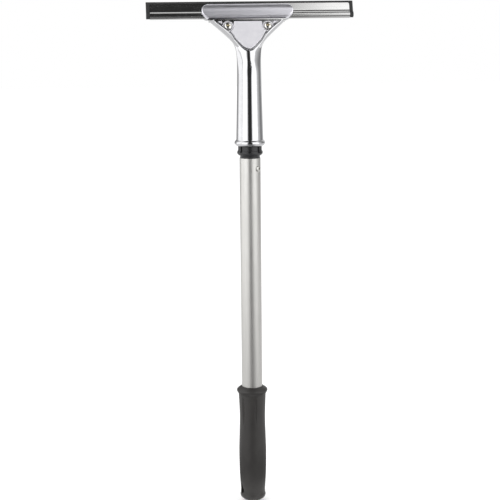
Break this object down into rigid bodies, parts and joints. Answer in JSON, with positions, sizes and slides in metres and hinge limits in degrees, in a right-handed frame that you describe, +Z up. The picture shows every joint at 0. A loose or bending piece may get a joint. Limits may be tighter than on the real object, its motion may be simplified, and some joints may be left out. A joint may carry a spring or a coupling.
{
  "type": "window cleaning squeegee",
  "caption": "Window squeegee: rubber blade in a long metal channel, clamped by two screws in a chromed Y-shaped handle on a short pole with a moulded grip.",
  "frame": {"origin": "on the pole's axis, where the hand closes round the grip, 7 mm below the grip's middle", "axes": "+Z up the pole towards the blade, +X along the blade to the right seen from the side with the clamp screws, -Y towards that side"},
  "size_m": [0.25, 0.0458, 0.6236],
  "materials": {
    "tube_aluminium": "satin anodised",
    "adapter_plastic": "moulded, fine grain",
    "rivet_aluminium": "plain",
    "mandrel_steel": "plain",
    "grip_plastic": "moulded, matt",
    "casting_chrome": "polished plating",
    "clamp_chrome": "satin plating on the shield, polished jaw",
    "channel_stainless": "polished strip",
    "blade_rubber": "matt",
    "screw_steel": "nickel plated",
    "washer_steel": "plain",
    "clip_brass": "plain"
  },
  "bodies": {
    "pole": {"pole_tube": "tube_aluminium", "cone_adapter": "adapter_plastic", "rivet_body": "rivet_aluminium", "rivet_mandrel": "mandrel_steel", "hand_grip": "grip_plastic"},
    "handle": {"handle_casting": "casting_chrome"},
    "clamp": {"clamp_plate": "clamp_chrome", "lock_washer_left": "washer_steel", "lock_washer_right": "washer_steel"},
    "screw_left": {"clamp_screw_left": "screw_steel"},
    "screw_right": {"clamp_screw_right": "screw_steel"},
    "channel_strip": {"channel": "channel_stainless"},
    "rubber": {"rubber_blade": "blade_rubber", "rubber_clip_left": "clip_brass", "rubber_clip_right": "clip_brass"}
  },
  "joints": [
    {"name": "handle_pull", "type": "slide", "parent": "pole", "child": "handle", "axis": [0, 0, 1], "range_m": [0, 0.085]},
    {"name": "clamp_open", "type": "slide", "parent": "handle", "child": "clamp", "axis": [0, -0.9397, 0.342], "range_m": [0, 0.0016]},
    {"name": "screw_left_turn", "type": "hinge", "parent": "clamp", "child": "screw_left", "pos_m": [-0.024, 0.01074, 0.52451], "axis": [0, -0.9397, 0.342], "range_deg": [0, 720]},
    {"name": "screw_right_turn", "type": "hinge", "parent": "clamp", "child": "screw_right", "pos_m": [0.024, 0.01074, 0.52451], "axis": [0, -0.9397, 0.342], "range_deg": [0, 720]},
    {"name": "channel_shift", "type": "slide", "parent": "handle", "child": "channel_strip", "axis": [1, 0, 0], "range_m": [-0.068, 0.06]},
    {"name": "rubber_slide", "type": "slide", "parent": "channel_strip", "child": "rubber", "axis": [1, 0, 0], "range_m": [-0.12, 0.12]}
  ],
  "couplings": [
    {"joint": "screw_left_turn", "follows": "clamp_open", "rad_per_m": 7853.9},
    {"joint": "screw_right_turn", "follows": "clamp_open", "rad_per_m": 7853.9}
  ]
}
